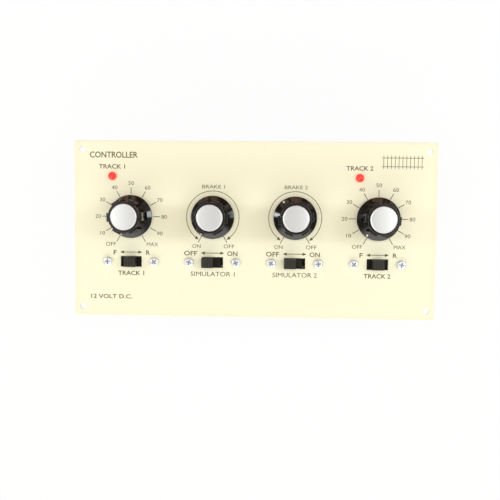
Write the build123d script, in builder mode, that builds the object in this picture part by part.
"""Twin-track model railway controller, made to be screwed into a control panel.

A cream metal panel carries four rotary controls and four slide switches. Behind it a circuit
board hangs from their tags, with two finned heat sinks, rectifiers, capacitors and a terminal
block on its back.

Frame: the origin is the centre of the panel's back face, the face that seats on the fascia.
+X runs to the right and +Y to the top as the legends are read, and +Z points out of the front.
"""

import os
from math import cos, radians, sin

from build123d import *

# ---------------------------------------------------------------- panel
panel_w = 219.4
panel_h = 106.8
panel_t = 1.6
panel_corner_r = 1.0
panel_edge_r = 0.25
fixing_inset_x = 4.7  # from the panel's edge to a fixing hole's centre
fixing_inset_y = 5.4
fixing_hole_d = 3.8

column_pitch = 50.0  # distance between neighbouring controls
knob_y = 7.5
switch_y = -20.0
lamp_offset_x = -11.5  # from the speed control's own column
lamp_y = 32.0

# ---------------------------------------------------------------- rotary controls
shaft_d = 6.0
shaft_clear = 0.05  # running clearance on the radius
shaft_flat_depth = 1.5
shaft_flat_len = 8.0
bush_d = 10.0
bush_len = 7.0  # stands out of the panel's back face by this much
hole_clear = 0.1  # between a part and the hole it passes through, on the radius
pot_d = 20.0
pot_plate_t = 1.2
wafer_t = 1.5
wafer_hole_d = 8.0
wafer_tongue_w = 13.0
wafer_tongue_len = 3.4  # beyond the cover's outside
pot_depth = 9.5
cover_wall = 0.6
rotor_d = 14.0
rotor_t = 1.5
rotor_gap = 1.0  # between the wafer and the rotor, where the wiper presses
stop_lug_len = 1.5
stop_clear = 0.3
wiper_t = 0.3
wiper_w = 1.6
washer_rim = 2.5  # of the washer beyond the bush
washer_t = 0.8
pot_nut_wall = 1.35
pot_nut_t = 2.2
pot_tag_pitch = 5.0
pot_tag_w = 1.2
tag_t = 0.4

turn_range = 300.0  # degrees from one end stop to the other
turn_start = 240.0  # where the pointer stands at the anticlockwise stop, from +X
lug_half_angle = 10.0
stop_half_angle = 18.0

# ---------------------------------------------------------------- knobs
knob_gap = 0.9  # between the panel's front face and the skirt
knob_h = 20.4
skirt_d = 26.2
skirt_edge_h = 1.0
skirt_h = 3.1
grip_d = 18.4
grip_rim_d = 18.0
rim_bevel_h = 0.5
rib_count = 6
rib_w = 5.2
rib_reach = 10.4  # from the knob's axis to a rib's outer face
rib_top_drop = 1.9  # below the rim
rib_foot_h = 2.2  # inside the skirt's slope
recess_clear = 0.7  # round the washer, on the radius
knob_recess_h = 5.0
knob_wall = 1.6
knob_hub_d = 11.0
knob_bore_clear = 0.03
knob_bore_end = 3.6  # plastic left between the bore's end and the rim
cap_d = 15.6
cap_t = 1.0
cap_proud = 0.2
cap_clear = 0.05

# ---------------------------------------------------------------- slide switches
thumb_w = 7.1
thumb_h = 6.0
thumb_proud = 5.7  # above the panel's front face
thumb_groove_count = 6
thumb_groove_pitch = 0.95
thumb_groove_w = 0.42
thumb_groove_depth = 0.35
slide_travel = 2.8  # from the middle to either end
thumb_end_clear = 0.1  # left in the slot at either end of the travel
thumb_side_clear = 0.3
ear_pitch = 28.6
ear_w = 35.0
frame_t = 0.8
frame_body_h = 12.7
frame_depth = 8.0
carriage_w = 15.0
carriage_t = 2.6
carriage_gap = 0.1
carriage_side_clear = 0.2
base_t = 1.6
switch_tag_pitch_x = 5.0
switch_tag_pitch_y = 6.4
switch_tag_w = 2.0
contact_w = 1.6
contact_len = 7.0
contact_gap = 0.15
contact_head_t = 0.5

# ---------------------------------------------------------------- fasteners
screw_d = 3.0
screw_clear = 0.05
switch_screw_len = 6.0
screw_shy = 0.2  # a screw's end stops this short of the far face
screw_head_d = 5.7
screw_head_h = 2.0
screw_recess_w = 0.8
screw_recess_len = 3.2
screw_recess_depth = 1.2
screw_turn = 37.0  # each recess stands this much further round than the last

# ---------------------------------------------------------------- lamps
lamp_d = 5.0
lamp_flange_d = 5.9
lamp_flange_t = 1.0
lamp_len = 8.6
lamp_proud = 2.9
lamp_lead_pitch = 2.54
lead_w = 0.5

# ---------------------------------------------------------------- circuit board
board_side_margin = 19.0  # beyond the outer columns
board_top = 40.0
board_bottom = -37.5
board_t = 1.6
board_gap = 12.0  # between the panel's back face and the board
tag_tail = 1.4  # of a tag or lead, through the board
lead_clear = 0.15

sink_tag_clear = 3.0  # between a sink and the nearest tags
sink_bottom = -13.0
sink_top = 27.0
sink_base_t = 3.0
sink_fin_h = 24.0
sink_fin_t = 1.6
sink_fin_pitch = 3.6
sink_fins_each_side = 3
sink_screw_ys = (-9.0, 21.0)

transistor_w = 10.2
transistor_body_h = 9.2
transistor_body_t = 4.4
transistor_tab_h = 15.6
transistor_tab_t = 1.3
transistor_y = -3.0  # lower edge of the plastic body
transistor_hole_up = 12.9  # from that edge to the tab's hole
transistor_lead_pitch = 2.54
transistor_lead_y = -15.2
transistor_lead_w = 0.8
transistor_lead_drop = 2.6  # of the leads behind the sink's face

smoother_d = 16.0
smoother_h = 22.0
smoother_x = 9.5
smoother_y = 28.0
timer_cap_d = 8.0
timer_cap_h = 12.0
timer_cap_x = 24.0
timer_cap_y = 30.0
can_bevel = 0.8
can_lead_pitch = 5.0

rectifier_inset = 6.0  # from the board's end
rectifier_y = 6.0
rectifier_w = 6.4
rectifier_len = 19.0
rectifier_h = 14.0
rectifier_stand = 1.5
rectifier_lead_pitch = 5.08

chip_x = 8.0
chip_y = 5.0
chip_w = 6.4
chip_len = 19.2
chip_h = 3.3
chip_stand = 0.6
chip_pins_each_side = 7
chip_pin_pitch = 2.54
chip_row_pitch = 7.62

resistor_d = 2.4
resistor_neck_d = 1.9
resistor_len = 6.4
resistor_lead_pitch = 10.16
resistor_lead_w = 0.6
resistor_stand = 0.3
resistor_pitch = 3.4
resistors_in_row = 4

cutout_inset = 14.0  # from the board's end
cutout_y = -31.5
cutout_w = 16.0
cutout_len = 8.0
cutout_h = 9.0
cutout_lead_pitch = 10.16

pole_count = 8
pole_pitch = 5.08
terminal_depth = 9.0
terminal_h = 11.0
terminal_bevel = 2.0
terminal_port_w = 3.4
terminal_port_h = 3.6
terminal_port_up = 2.4
terminal_screw_d = 3.4
terminal_screw_h = 1.2
terminal_screw_drop = 0.8
terminal_slot_w = 0.7

# ---------------------------------------------------------------- sizes that follow from others
fixing_pitch_x = panel_w - 2 * fixing_inset_x
fixing_pitch_y = panel_h - 2 * fixing_inset_y
washer_d = bush_d + 2 * washer_rim
pot_nut_af = bush_d + 2 * pot_nut_wall
slot_w = thumb_w + 2 * (slide_travel + thumb_end_clear)
slot_h = thumb_h + 2 * thumb_side_clear
frame_body_w = carriage_w + 2 * (slide_travel + carriage_side_clear + frame_t)
board_w = 3 * column_pitch + 2 * board_side_margin
sink_x = column_pitch  # midway between an outer and an inner column
sink_w = column_pitch - 2 * (pot_tag_pitch + sink_tag_clear)
rectifier_x = board_w / 2 - rectifier_inset
cutout_x = board_w / 2 - cutout_inset
resistor_rows = (
    (column_pitch / 2 - 7.4, 8.0),
    (sink_x + sink_w / 2 + 4.6, 20.0),
    (column_pitch / 2 + 8.0, -29.0),
)

# ---------------------------------------------------------------- levels and places
front = panel_t
knob_base = front + knob_gap
knob_top = knob_base + knob_h
rotor_top = -(pot_plate_t + wafer_t + rotor_gap)
rotor_bottom = rotor_top - rotor_t
board_top_face = -board_gap
board_back_face = -(board_gap + board_t)
tail_back = board_back_face - tag_tail
tail_front = board_top_face + tag_tail
sink_back = board_back_face - sink_base_t

controls = ("speed_1", "brake_1", "brake_2", "speed_2")
switches = ("direction_1", "simulator_1", "simulator_2", "direction_2")
column_x = {}
for number, (control, switch) in enumerate(zip(controls, switches)):
    column_x[control] = (number - 1.5) * column_pitch
    column_x[switch] = column_x[control]

shaft_angle = {name: turn_start for name in controls}
shaft_angle["brake_2"] = 126.0  # this control stands part way round at rest
# Each flat is cut a few degrees off its own end stop, so the pointers don't quite line up.
flat_error = {"speed_1": 2.0, "brake_1": -3.5, "brake_2": 0.0, "speed_2": -5.0}
thumb_rest = {"direction_1": 0.0, "direction_2": 0.0}
thumb_rest["simulator_1"] = -slide_travel
thumb_rest["simulator_2"] = -slide_travel
lamp_x = {1: column_x["speed_1"] + lamp_offset_x, 2: column_x["speed_2"] + lamp_offset_x}

pot_tag_y = knob_y - pot_d / 2 - wafer_tongue_len
pot_tag_places = [
    (column_x[name] + i * pot_tag_pitch, pot_tag_y) for name in controls for i in (-1, 0, 1)
]
switch_tag_places = [
    (column_x[name] + i * switch_tag_pitch_x, switch_y + j * switch_tag_pitch_y / 2)
    for name in switches
    for i in (-1, 0, 1)
    for j in (-1, 1)
]
ear_places = [(column_x[name] + side * ear_pitch / 2, switch_y) for name in switches for side in (-1, 1)]
lamp_lead_places = [(x + side * lamp_lead_pitch / 2, lamp_y) for x in lamp_x.values() for side in (-1, 1)]
sink_places = {1: -sink_x, 2: sink_x}
sink_screw_places = [(x, y) for x in sink_places.values() for y in sink_screw_ys]
transistor_hole_y = transistor_y + transistor_hole_up
transistor_lead_places = [
    (x + i * transistor_lead_pitch, transistor_lead_y) for x in sink_places.values() for i in (-1, 0, 1)
]
can_places = [
    (side * x, y, d, h)
    for x, y, d, h in (
        (smoother_x, smoother_y, smoother_d, smoother_h),
        (timer_cap_x, timer_cap_y, timer_cap_d, timer_cap_h),
    )
    for side in (-1, 1)
]
can_lead_places = [(x, y + side * can_lead_pitch / 2) for x, y, _, _ in can_places for side in (-1, 1)]
rectifier_lead_places = [
    (side * rectifier_x, rectifier_y + (i - 1.5) * rectifier_lead_pitch) for side in (-1, 1) for i in range(4)
]
chip_pin_places = [
    (side * chip_x + row * chip_row_pitch / 2, chip_y + (i - (chip_pins_each_side - 1) / 2) * chip_pin_pitch)
    for side in (-1, 1)
    for row in (-1, 1)
    for i in range(chip_pins_each_side)
]
resistor_places = [
    (side * (x0 + i * resistor_pitch), y0)
    for side in (-1, 1)
    for x0, y0 in resistor_rows
    for i in range(resistors_in_row)
]
resistor_lead_places = [
    (x, y + side * resistor_lead_pitch / 2) for x, y in resistor_places for side in (-1, 1)
]
cutout_lead_places = [
    (side * cutout_x + end * cutout_lead_pitch / 2, cutout_y) for side in (-1, 1) for end in (-1, 1)
]
pole_places = [
    ((i - (pole_count - 1) / 2) * pole_pitch, board_bottom + terminal_depth / 2) for i in range(pole_count)
]


def upright(x, y, z=0.0):
    """A plane through (x, y, z) for profiles: its own x is +X and its own y is +Z."""
    return Plane(origin=(x, y, z), x_dir=(1, 0, 0), z_dir=(0, -1, 0))


def spindle(x, y):
    """The upright axis through (x, y)."""
    return Axis((x, y, 0), (0, 0, 1))


def around(x, y, angle, reach):
    """The point at that angle and distance from (x, y)."""
    return (x + reach * cos(radians(angle)), y + reach * sin(radians(angle)))


def save(piece, name):
    """Labels one finished sub-part and writes its STEP file."""
    piece.part.label = name
    export_step(piece.part, f"parts/{name}.step")


os.makedirs("parts", exist_ok=True)

# ---------------------------------------------------------------- front panel
with BuildPart() as front_panel:
    with BuildSketch():
        RectangleRounded(panel_w, panel_h, panel_corner_r)
        with GridLocations(fixing_pitch_x, fixing_pitch_y, 2, 2):
            Circle(fixing_hole_d / 2, mode=Mode.SUBTRACT)
        with Locations(*[(column_x[name], knob_y) for name in controls]):
            Circle(bush_d / 2 + hole_clear, mode=Mode.SUBTRACT)
        with Locations(*[(column_x[name], switch_y) for name in switches]):
            Rectangle(slot_w, slot_h, mode=Mode.SUBTRACT)
        with Locations(*ear_places):
            Circle(screw_d / 2 + hole_clear, mode=Mode.SUBTRACT)
        with Locations(*[(x, lamp_y) for x in lamp_x.values()]):
            Circle(lamp_d / 2 + hole_clear, mode=Mode.SUBTRACT)
    extrude(amount=panel_t)
    front_face = front_panel.faces().sort_by(Axis.Z)[-1]
    fillet(front_face.outer_wire().edges(), panel_edge_r)
save(front_panel, "front_panel")

# ---------------------------------------------------------------- rotary controls
for name in controls:
    x = column_x[name]
    pointer = shaft_angle[name] + flat_error[name]
    stop_angle = turn_start + (360 - turn_range) / 2

    # Threaded bush and its plate, one zinc casting that clamps to the panel's back.
    with BuildPart() as pot_bush:
        with BuildSketch(Plane.XY.offset(-pot_plate_t)):
            with Locations((x, knob_y)):
                Circle(pot_d / 2)
        extrude(amount=pot_plate_t)
        with BuildSketch():
            with Locations((x, knob_y)):
                Circle(bush_d / 2)
        extrude(amount=bush_len)
        chamfer(pot_bush.edges().sort_by(Axis.Z)[-1], 0.4)
        with BuildSketch(Plane.XY.offset(-pot_plate_t)):
            with Locations((x, knob_y)):
                Circle(shaft_d / 2 + shaft_clear)
        extrude(amount=pot_plate_t + bush_len, mode=Mode.SUBTRACT)
    save(pot_bush, f"{name}_pot_bush")

    # Pressed cover, notched for the wafer's tongue, with the end stop pressed into its wall.
    cover_r = pot_d / 2
    with BuildPart() as pot_cover:
        with BuildSketch(Plane.XY.offset(-pot_depth)):
            with Locations((x, knob_y)):
                Circle(cover_r)
        extrude(amount=pot_depth - pot_plate_t)
        fillet(pot_cover.edges().sort_by(Axis.Z)[0], cover_wall)
        with BuildSketch(Plane.XY.offset(cover_wall - pot_depth)):
            with Locations((x, knob_y)):
                Circle(cover_r - cover_wall)
        extrude(amount=pot_depth, mode=Mode.SUBTRACT)
        with BuildSketch(Plane.XY.offset(rotor_bottom - stop_clear)):
            with BuildLine():
                inner = rotor_d / 2 + stop_clear
                outer = cover_r - cover_wall / 2
                start = stop_angle - stop_half_angle
                swing = 2 * stop_half_angle
                CenterArc((x, knob_y), inner, start, swing)
                CenterArc((x, knob_y), outer, start, swing)
                Line(around(x, knob_y, start, inner), around(x, knob_y, start, outer))
                Line(around(x, knob_y, start + swing, inner), around(x, knob_y, start + swing, outer))
            make_face()
        extrude(amount=rotor_t + 2 * stop_clear)
        with BuildSketch(Plane.XY.offset(-(pot_plate_t + wafer_t + tag_t + hole_clear))):
            notch_len = cover_r + cover_wall
            with Locations((x, knob_y - notch_len / 2)):
                Rectangle(wafer_tongue_w + 2 * hole_clear, notch_len)
        extrude(amount=wafer_t + tag_t + hole_clear, mode=Mode.SUBTRACT)
    save(pot_cover, f"{name}_pot_cover")

    # Shaft with the rotor on its inner end, its stop lug, and the flat that drives the knob.
    shaft_top = knob_top - knob_bore_end - hole_clear
    with BuildPart() as shaft:
        with BuildSketch(Plane.XY.offset(rotor_bottom)):
            with Locations((x, knob_y)):
                Circle(rotor_d / 2)
            with BuildLine():
                lug_inner = rotor_d / 2 - stop_lug_len
                lug_outer = rotor_d / 2 + stop_lug_len
                start = shaft_angle[name] - lug_half_angle
                swing = 2 * lug_half_angle
                CenterArc((x, knob_y), lug_inner, start, swing)
                CenterArc((x, knob_y), lug_outer, start, swing)
                Line(around(x, knob_y, start, lug_inner), around(x, knob_y, start, lug_outer))
                Line(
                    around(x, knob_y, start + swing, lug_inner),
                    around(x, knob_y, start + swing, lug_outer),
                )
            make_face()
        extrude(amount=rotor_t)
        with BuildSketch(Plane.XY.offset(rotor_top)):
            with Locations((x, knob_y)):
                Circle(shaft_d / 2)
        extrude(amount=shaft_top - rotor_top)
        chamfer(shaft.edges().sort_by(Axis.Z)[-1], 0.5)
        flat_plane = Plane.XY.offset(shaft_top - shaft_flat_len)
        with BuildSketch(flat_plane):
            with Locations(Location((x, knob_y), pointer)):
                with Locations((shaft_d - shaft_flat_depth, 0)):
                    Rectangle(shaft_d, 2 * shaft_d)
        extrude(amount=shaft_flat_len, mode=Mode.SUBTRACT)
    save(shaft, f"{name}_shaft")

    # Bronze wiper: a ring on the shaft and one arm that presses on the carbon track.
    with BuildPart() as wiper:
        with BuildSketch(Plane.XY.offset(rotor_top)):
            with Locations((x, knob_y)):
                Circle(shaft_d / 2 + 1.6)
                Circle(shaft_d / 2 + shaft_clear, mode=Mode.SUBTRACT)
            with Locations(Location((x, knob_y), shaft_angle[name])):
                with Locations(((shaft_d / 2 + rotor_d / 2) / 2, 0)):
                    Rectangle(rotor_d / 2 - shaft_d / 2 - 1.2, wiper_w)
        extrude(amount=wiper_t)
        with BuildSketch(Plane.XY.offset(rotor_top + wiper_t)):
            with Locations(Location((x, knob_y), shaft_angle[name])):
                with Locations((rotor_d / 2 - wiper_w, 0)):
                    Circle(wiper_w / 2)
        extrude(amount=rotor_gap - wiper_t - shaft_clear)
    save(wiper, f"{name}_wiper")

    # Skirted knob with six flat-faced ribs, hollow below, bored for the flatted shaft.
    recess_r = washer_d / 2 + recess_clear
    with BuildPart() as knob:
        with BuildSketch(upright(x, knob_y, knob_base)):
            with BuildLine():
                Polyline(
                    (0, 0),
                    (skirt_d / 2, 0),
                    (skirt_d / 2, skirt_edge_h),
                    (grip_d / 2, skirt_h),
                    (grip_d / 2, knob_h - rim_bevel_h),
                    (grip_rim_d / 2, knob_h),
                    (0, knob_h),
                    (0, 0),
                )
            make_face()
        revolve(axis=spindle(x, knob_y))
        with BuildSketch(Plane.XY.offset(knob_base + rib_foot_h)):
            with Locations(Location((x, knob_y), pointer)):
                with PolarLocations(rib_reach / 2, rib_count):
                    Rectangle(rib_reach, rib_w)
        extrude(amount=knob_h - rib_top_drop - rib_foot_h)
        with BuildSketch(upright(x, knob_y, knob_base)):
            with BuildLine():
                Polyline(
                    (0, -1),
                    (recess_r, -1),
                    (recess_r, knob_recess_h),
                    (grip_d / 2 - knob_wall, knob_recess_h),
                    (grip_d / 2 - knob_wall, knob_h - knob_bore_end),
                    (knob_hub_d / 2, knob_h - knob_bore_end),
                    (knob_hub_d / 2, knob_recess_h),
                    (0, knob_recess_h),
                    (0, -1),
                )
            make_face()
        revolve(axis=spindle(x, knob_y), mode=Mode.SUBTRACT)
        with BuildSketch(Plane.XY.offset(knob_base)):
            with Locations(Location((x, knob_y), pointer)):
                Circle(shaft_d / 2 + knob_bore_clear)
                with Locations((shaft_d - shaft_flat_depth + knob_bore_clear, 0)):
                    Rectangle(shaft_d, 2 * shaft_d, mode=Mode.SUBTRACT)
        extrude(amount=knob_h - knob_bore_end, mode=Mode.SUBTRACT)
        with BuildSketch(Plane.XY.offset(knob_base)):
            with Locations((x, knob_y)):
                Circle(shaft_d / 2 + knob_bore_clear)
        extrude(amount=shaft_top - shaft_flat_len - knob_base + hole_clear, mode=Mode.SUBTRACT)
        with BuildSketch(Plane.XY.offset(knob_top + cap_proud - cap_t)):
            with Locations((x, knob_y)):
                Circle(cap_d / 2 + cap_clear)
        extrude(amount=cap_t, mode=Mode.SUBTRACT)
    save(knob, f"{name}_knob")

    # Spun aluminium cap, dished a little, seated in the knob's rim.
    with BuildPart() as cap:
        with BuildSketch(upright(x, knob_y, knob_top + cap_proud - cap_t)):
            with BuildLine():
                Polyline(
                    (0, 0),
                    (cap_d / 2, 0),
                    (cap_d / 2, cap_t - 0.3),
                    (cap_d / 2 - 0.35, cap_t),
                    (cap_d / 2 - 0.9, cap_t),
                    (cap_d / 2 - 1.3, cap_t - 0.15),
                    (0, cap_t - 0.15),
                    (0, 0),
                )
            make_face()
        revolve(axis=spindle(x, knob_y))
    save(cap, f"{name}_cap")

with BuildPart() as pot_wafers:
    with BuildSketch(Plane.XY.offset(-(pot_plate_t + wafer_t))):
        with Locations(*[(column_x[name], knob_y) for name in controls]):
            Circle(pot_d / 2 - cover_wall - shaft_clear)
        tongue_len = pot_d / 2 + wafer_tongue_len - 0.5
        with Locations(*[(column_x[name], knob_y - tongue_len / 2) for name in controls]):
            Rectangle(wafer_tongue_w, tongue_len)
        with Locations(*[(column_x[name], knob_y) for name in controls]):
            Circle(wafer_hole_d / 2, mode=Mode.SUBTRACT)
    extrude(amount=wafer_t)
save(pot_wafers, "pot_wafers")

with BuildPart() as pot_tags:
    foot_len = wafer_tongue_len + cover_wall + 0.8
    with BuildSketch(Plane.XY.offset(-(pot_plate_t + wafer_t + tag_t))):
        with Locations(*[(px, py + foot_len / 2 - tag_t / 2) for px, py in pot_tag_places]):
            Rectangle(pot_tag_w, foot_len)
    extrude(amount=tag_t)
    with BuildSketch(Plane.XY.offset(tail_back)):
        with Locations(*pot_tag_places):
            Rectangle(pot_tag_w, tag_t)
    extrude(amount=-(pot_plate_t + wafer_t) - tail_back)
save(pot_tags, "pot_tags")

with BuildPart() as pot_washers:
    with BuildSketch(Plane.XY.offset(front)):
        with Locations(*[(column_x[name], knob_y) for name in controls]):
            Circle(washer_d / 2)
            Circle(bush_d / 2 + hole_clear, mode=Mode.SUBTRACT)
    extrude(amount=washer_t)
save(pot_washers, "pot_washers")

with BuildPart() as pot_nuts:
    with BuildSketch(Plane.XY.offset(front + washer_t)):
        with Locations(*[(column_x[name], knob_y) for name in controls]):
            RegularPolygon(pot_nut_af / 2, 6, major_radius=False)
            Circle(bush_d / 2 + shaft_clear, mode=Mode.SUBTRACT)
    extrude(amount=pot_nut_t)
save(pot_nuts, "pot_nuts")

# ---------------------------------------------------------------- slide switches
inside_w = frame_body_w - 2 * frame_t
inside_h = frame_body_h - 2 * frame_t
carriage_top = -(frame_t + carriage_gap)
carriage_bottom = carriage_top - carriage_t
base_front = -(frame_depth - base_t)
contact_bottom = base_front + contact_head_t + contact_gap

for name in switches:
    x = column_x[name]
    thumb_x = x + thumb_rest[name]

    # Pressed steel frame: a slotted front with two tapped ears, and four walls behind it.
    with BuildPart() as switch_frame:
        with BuildSketch(Plane.XY.offset(-frame_t)):
            with Locations((x, switch_y)):
                RectangleRounded(ear_w, frame_body_h - 2.0, 2.5)
                Rectangle(frame_body_w, frame_body_h)
        extrude(amount=frame_t)
        with BuildSketch(Plane.XY.offset(-frame_depth)):
            with Locations((x, switch_y)):
                Rectangle(frame_body_w, frame_body_h)
                Rectangle(inside_w, inside_h, mode=Mode.SUBTRACT)
        extrude(amount=frame_depth - frame_t)
        with BuildSketch(Plane.XY.offset(-frame_t)):
            with Locations((x, switch_y)):
                Rectangle(slot_w, slot_h)
                with GridLocations(ear_pitch, 0, 2, 1):
                    Circle(screw_d / 2 + screw_clear)
        extrude(amount=frame_t, mode=Mode.SUBTRACT)
    save(switch_frame, f"{name}_switch_frame")

    # Moulded slider: a carriage behind the frame and a grooved thumb piece through the slot.
    with BuildPart() as slider:
        with BuildSketch(Plane.XY.offset(carriage_bottom)):
            with Locations((thumb_x, switch_y)):
                Rectangle(carriage_w, inside_h - 2 * carriage_side_clear)
        extrude(amount=carriage_t)
        with BuildSketch(Plane.XY.offset(carriage_top)):
            with Locations((thumb_x, switch_y)):
                RectangleRounded(thumb_w, thumb_h, 0.4)
        extrude(amount=front + thumb_proud - carriage_top)
        fillet(slider.faces().sort_by(Axis.Z)[-1].edges(), 0.3)
        with BuildSketch(Plane.XY.offset(front + thumb_proud - thumb_groove_depth)):
            with Locations((thumb_x, switch_y)):
                with GridLocations(thumb_groove_pitch, 0, thumb_groove_count, 1):
                    Rectangle(thumb_groove_w, thumb_h - 1.2)
        extrude(amount=1, mode=Mode.SUBTRACT)
    save(slider, f"{name}_slider")

    # Two spring clips under the carriage, which bridge neighbouring contacts.
    with BuildPart() as contacts:
        with BuildSketch(Plane.XY.offset(carriage_bottom - tag_t)):
            with Locations((thumb_x, switch_y)):
                with GridLocations(0, switch_tag_pitch_y, 1, 2):
                    Rectangle(contact_len, contact_w)
        extrude(amount=tag_t)
        with BuildSketch(Plane.XY.offset(contact_bottom)):
            with Locations((thumb_x, switch_y)):
                with GridLocations(contact_len - contact_w, switch_tag_pitch_y, 2, 2):
                    Circle(contact_w / 2)
        extrude(amount=carriage_bottom - contact_bottom)
    save(contacts, f"{name}_contacts")

with BuildPart() as switch_bases:
    with BuildSketch(Plane.XY.offset(-frame_depth)):
        with Locations(*[(column_x[name], switch_y) for name in switches]):
            Rectangle(inside_w, inside_h)
        with Locations(*switch_tag_places):
            Rectangle(switch_tag_w, tag_t, mode=Mode.SUBTRACT)
    extrude(amount=base_t)
save(switch_bases, "switch_bases")

with BuildPart() as switch_tags:
    with BuildSketch(Plane.XY.offset(base_front)):
        with Locations(*switch_tag_places):
            Circle(switch_tag_w / 2)
    extrude(amount=contact_head_t)
    with BuildSketch(Plane.XY.offset(tail_back)):
        with Locations(*switch_tag_places):
            Rectangle(switch_tag_w, tag_t)
    extrude(amount=base_front - tail_back)
save(switch_tags, "switch_tags")


def pan_head_screws(planes, length, name):
    """M3 cross-recess pan-head screws, one on each plane, heads outwards along its z."""
    with BuildPart() as screws:
        for plane in planes:
            with BuildSketch(plane.offset(-length)):
                Circle(screw_d / 2)
            extrude(amount=length)
            with BuildSketch(plane):
                Circle(screw_head_d / 2)
            head = extrude(amount=screw_head_h)
            crown = head.faces().sort_by(Axis(plane.origin, plane.z_dir))[-1]
            fillet(crown.edges(), screw_head_h * 0.55)
            with BuildSketch(plane.offset(screw_head_h - screw_recess_depth)):
                with Locations(Rotation(0, 0, 0), Rotation(0, 0, 90)):
                    Rectangle(screw_recess_len, screw_recess_w)
            extrude(amount=screw_recess_depth, mode=Mode.SUBTRACT)
    save(screws, name)


ear_planes = [
    Plane(origin=(px, py, front)).rotated((0, 0, number * screw_turn))
    for number, (px, py) in enumerate(ear_places)
]
pan_head_screws(ear_planes, switch_screw_len, "switch_screws")

# ---------------------------------------------------------------- lamps
lamp_tip = front + lamp_proud
lamp_foot = lamp_tip - lamp_len
for number, x in lamp_x.items():
    with BuildPart() as lamp:
        with BuildSketch(Plane.XY.offset(lamp_foot)):
            with Locations((x, lamp_y)):
                Circle(lamp_flange_d / 2)
        extrude(amount=lamp_flange_t)
        with BuildSketch(upright(x, lamp_y, lamp_foot)):
            with BuildLine():
                shoulder = lamp_len - lamp_d / 2
                Polyline((0, lamp_len), (0, 0), (lamp_d / 2, 0), (lamp_d / 2, shoulder))
                RadiusArc((lamp_d / 2, shoulder), (0, lamp_len), -lamp_d / 2)
            make_face()
        revolve(axis=spindle(x, lamp_y))
    save(lamp, f"track_{number}_lamp")

with BuildPart() as lamp_leads:
    with BuildSketch(Plane.XY.offset(tail_back)):
        with Locations(*lamp_lead_places):
            Rectangle(lead_w, lead_w)
    extrude(amount=lamp_foot - tail_back)
save(lamp_leads, "lamp_leads")

# ---------------------------------------------------------------- circuit board
board_mid_y = (board_top + board_bottom) / 2
with BuildPart() as circuit_board:
    with BuildSketch(Plane.XY.offset(board_back_face)):
        with Locations((0, board_mid_y)):
            Rectangle(board_w, board_top - board_bottom)
        with Locations(*pot_tag_places):
            Circle(pot_tag_w / 2 + lead_clear, mode=Mode.SUBTRACT)
        with Locations(*switch_tag_places):
            Circle(switch_tag_w / 2 + lead_clear, mode=Mode.SUBTRACT)
        with Locations(*sink_screw_places):
            Circle(screw_d / 2 + lead_clear, mode=Mode.SUBTRACT)
        fine_holes = lamp_lead_places + can_lead_places + chip_pin_places + resistor_lead_places
        with Locations(*fine_holes):
            Circle(resistor_lead_w / 2 + lead_clear, mode=Mode.SUBTRACT)
        coarse_holes = rectifier_lead_places + transistor_lead_places + cutout_lead_places + pole_places
        with Locations(*coarse_holes):
            Circle(transistor_lead_w / 2 + 2 * lead_clear, mode=Mode.SUBTRACT)
    extrude(amount=board_t)
save(circuit_board, "circuit_board")

for number, x in sink_places.items():
    # Extruded heat sink, its base flat on the board and its fins pointing back.
    sink_len = sink_top - sink_bottom
    sink_mid_y = (sink_top + sink_bottom) / 2
    with BuildPart() as heat_sink:
        with BuildSketch(Plane.XY.offset(sink_back)):
            with Locations((x, sink_mid_y)):
                Rectangle(sink_w, sink_len)
            with Locations((x, transistor_hole_y), *[(x, y) for y in sink_screw_ys]):
                Circle(screw_d / 2 + screw_clear, mode=Mode.SUBTRACT)
        extrude(amount=sink_base_t)
        fin_places = [
            (x + side * (sink_w / 2 - sink_fin_t / 2 - i * sink_fin_pitch), sink_mid_y)
            for side in (-1, 1)
            for i in range(sink_fins_each_side)
        ]
        with BuildSketch(Plane.XY.offset(sink_back - sink_fin_h)):
            with Locations(*fin_places):
                Rectangle(sink_fin_t, sink_len)
        extrude(amount=sink_fin_h)
    save(heat_sink, f"heat_sink_{number}")

# Power transistors flat on the sinks, their leads bent forward into the board.
lead_level = sink_back - transistor_lead_drop
lead_run = transistor_y - transistor_lead_y + transistor_lead_w / 2
with BuildPart() as transistors:
    for x in sink_places.values():
        with BuildSketch(Plane.XY.offset(sink_back - transistor_tab_t)):
            with Locations((x, transistor_y + transistor_tab_h / 2)):
                Rectangle(transistor_w, transistor_tab_h)
            with Locations((x, transistor_hole_y)):
                Circle(screw_d / 2 + lead_clear, mode=Mode.SUBTRACT)
        extrude(amount=transistor_tab_t)
        with BuildSketch(Plane.XY.offset(sink_back - transistor_body_t)):
            with Locations((x, transistor_y + transistor_body_h / 2)):
                Rectangle(transistor_w, transistor_body_h)
        extrude(amount=transistor_body_t)
        with BuildSketch(Plane.XY.offset(lead_level)):
            with Locations((x, transistor_y - lead_run / 2)):
                with GridLocations(transistor_lead_pitch, 0, 3, 1):
                    Rectangle(transistor_lead_w, lead_run)
        extrude(amount=lead_w)
        with BuildSketch(Plane.XY.offset(lead_level)):
            with Locations((x, transistor_lead_y)):
                with GridLocations(transistor_lead_pitch, 0, 3, 1):
                    Rectangle(transistor_lead_w, transistor_lead_w)
        extrude(amount=tail_front - lead_level)
    chamfer(transistors.faces().sort_by(Axis.Z)[0:2].edges(), 0.3)
save(transistors, "power_transistors")

board_front = [Plane(origin=(px, py, board_top_face)) for px, py in sink_screw_places]
tab_level = sink_back - transistor_tab_t
tab_back = [
    Plane(origin=(px, transistor_hole_y, tab_level), x_dir=(1, 0, 0), z_dir=(0, 0, -1))
    for px in sink_places.values()
]
pan_head_screws(board_front, board_t + sink_base_t - screw_shy, "board_screws")
pan_head_screws(tab_back, transistor_tab_t + sink_base_t - screw_shy, "transistor_screws")

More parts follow.
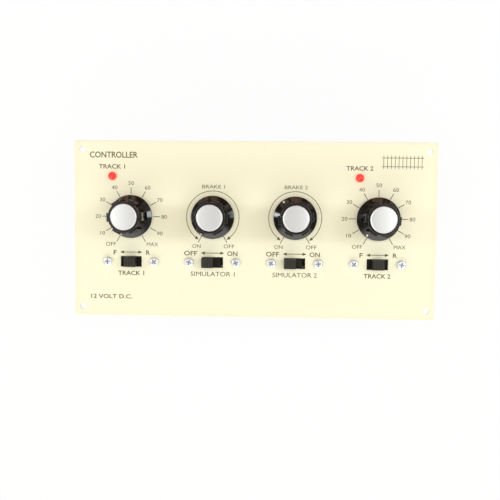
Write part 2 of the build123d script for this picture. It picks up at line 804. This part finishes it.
with BuildPart() as capacitors:
    for px, py, can_d, can_h in can_places:
        with BuildSketch(Plane.XY.offset(board_back_face - can_h)):
            with Locations((px, py)):
                Circle(can_d / 2)
        can = extrude(amount=can_h)
        chamfer(can.edges().filter_by(GeomType.CIRCLE).sort_by(Axis.Z)[0], can_bevel)
    with BuildSketch(Plane.XY.offset(board_back_face)):
        with Locations(*can_lead_places):
            Circle(resistor_lead_w / 2)
    extrude(amount=tail_front - board_back_face)
save(capacitors, "capacitors")

with BuildPart() as rectifiers:
    with BuildSketch(Plane.XY.offset(board_back_face - rectifier_stand - rectifier_h)):
        with Locations((-rectifier_x, rectifier_y), (rectifier_x, rectifier_y)):
            Rectangle(rectifier_w, rectifier_len)
    extrude(amount=rectifier_h)
    chamfer(rectifiers.faces().sort_by(Axis.Z)[0:2].edges(), 0.6)
    with BuildSketch(Plane.XY.offset(board_back_face - rectifier_stand)):
        with Locations(*rectifier_lead_places):
            Rectangle(transistor_lead_w, transistor_lead_w)
    extrude(amount=tail_front - board_back_face + rectifier_stand)
save(rectifiers, "bridge_rectifiers")

with BuildPart() as chips:
    with BuildSketch(Plane.XY.offset(board_back_face - chip_stand - chip_h)):
        with Locations((-chip_x, chip_y), (chip_x, chip_y)):
            Rectangle(chip_w, chip_len)
    extrude(amount=chip_h)
    shoulder_level = board_back_face - chip_stand - chip_h / 2
    with BuildSketch(Plane.XY.offset(shoulder_level)):
        for side in (-1, 1):
            with Locations((side * chip_x, chip_y)):
                with GridLocations(0, chip_pin_pitch, 1, chip_pins_each_side):
                    Rectangle(chip_row_pitch + lead_w, lead_w)
    extrude(amount=lead_w / 2)
    with BuildSketch(Plane.XY.offset(shoulder_level)):
        with Locations(*chip_pin_places):
            Rectangle(lead_w, lead_w)
    extrude(amount=tail_front - shoulder_level)
save(chips, "control_chips")

resistor_axis_level = board_back_face - resistor_stand - resistor_d / 2
with BuildPart() as resistors:
    for px, py in resistor_places:
        with BuildSketch(Plane(origin=(px, py, resistor_axis_level), x_dir=(0, 1, 0), z_dir=(1, 0, 0))):
            with BuildLine():
                end = resistor_len / 2
                bulge = end - 1.3
                Polyline(
                    (-end, 0),
                    (-end, resistor_d / 2),
                    (-bulge, resistor_d / 2),
                    (-bulge, resistor_neck_d / 2),
                    (bulge, resistor_neck_d / 2),
                    (bulge, resistor_d / 2),
                    (end, resistor_d / 2),
                    (end, 0),
                    (-end, 0),
                )
            make_face()
        revolve(axis=Axis((px, py, resistor_axis_level), (0, 1, 0)))
    with BuildSketch(Plane.XY.offset(resistor_axis_level - resistor_lead_w / 2)):
        with Locations(*resistor_places):
            Rectangle(resistor_lead_w, resistor_lead_pitch + resistor_lead_w)
    extrude(amount=resistor_lead_w)
    with BuildSketch(Plane.XY.offset(resistor_axis_level)):
        with Locations(*resistor_lead_places):
            Rectangle(resistor_lead_w, resistor_lead_w)
    extrude(amount=tail_front - resistor_axis_level)
save(resistors, "resistors")

with BuildPart() as cutouts:
    with BuildSketch(Plane.XY.offset(board_back_face - cutout_h)):
        with Locations((-cutout_x, cutout_y), (cutout_x, cutout_y)):
            RectangleRounded(cutout_w, cutout_len, 1.0)
    extrude(amount=cutout_h)
    with BuildSketch(Plane.XY.offset(board_back_face)):
        with Locations(*cutout_lead_places):
            Rectangle(transistor_lead_w, transistor_lead_w)
    extrude(amount=tail_front - board_back_face)
save(cutouts, "overload_cutouts")

# ---------------------------------------------------------------- terminal block
block_w = pole_count * pole_pitch
terminal_back = board_back_face - terminal_h
with BuildPart() as terminal_block:
    profile_plane = Plane(origin=(-block_w / 2, board_bottom, 0), x_dir=(0, 1, 0), z_dir=(1, 0, 0))
    with BuildSketch(profile_plane):
        with BuildLine():
            Polyline(
                (0, board_back_face),
                (0, terminal_back + 2 * terminal_bevel),
                (terminal_bevel, terminal_back),
                (terminal_depth - terminal_bevel, terminal_back),
                (terminal_depth, terminal_back + terminal_bevel),
                (terminal_depth, board_back_face),
                (0, board_back_face),
            )
        make_face()
    extrude(amount=block_w)
    port_level = board_back_face - terminal_port_up - terminal_port_h / 2
    with BuildSketch(Plane(origin=(0, board_bottom, port_level), x_dir=(1, 0, 0), z_dir=(0, -1, 0))):
        with GridLocations(pole_pitch, 0, pole_count, 1):
            Rectangle(terminal_port_w, terminal_port_h)
    extrude(amount=-terminal_depth * 0.6, mode=Mode.SUBTRACT)
    with BuildSketch(Plane.XY.offset(terminal_back)):
        with Locations(*pole_places):
            Circle(terminal_screw_d / 2 + hole_clear)
    extrude(amount=terminal_screw_drop + terminal_screw_h, mode=Mode.SUBTRACT)
    with BuildSketch(Plane.XY.offset(board_back_face)):
        with Locations(*pole_places):
            Rectangle(transistor_lead_w, transistor_lead_w)
    extrude(amount=tail_front - board_back_face)
save(terminal_block, "terminal_block")

with BuildPart() as terminal_screws:
    with BuildSketch(Plane.XY.offset(terminal_back + terminal_screw_drop)):
        with Locations(*pole_places):
            Circle(terminal_screw_d / 2)
    extrude(amount=terminal_screw_h)
    with BuildSketch(Plane.XY.offset(terminal_back + terminal_screw_drop)):
        with Locations(*pole_places):
            Rectangle(terminal_slot_w, terminal_screw_d * 1.2)
    extrude(amount=terminal_screw_h / 2, mode=Mode.SUBTRACT)
save(terminal_screws, "terminal_screws")
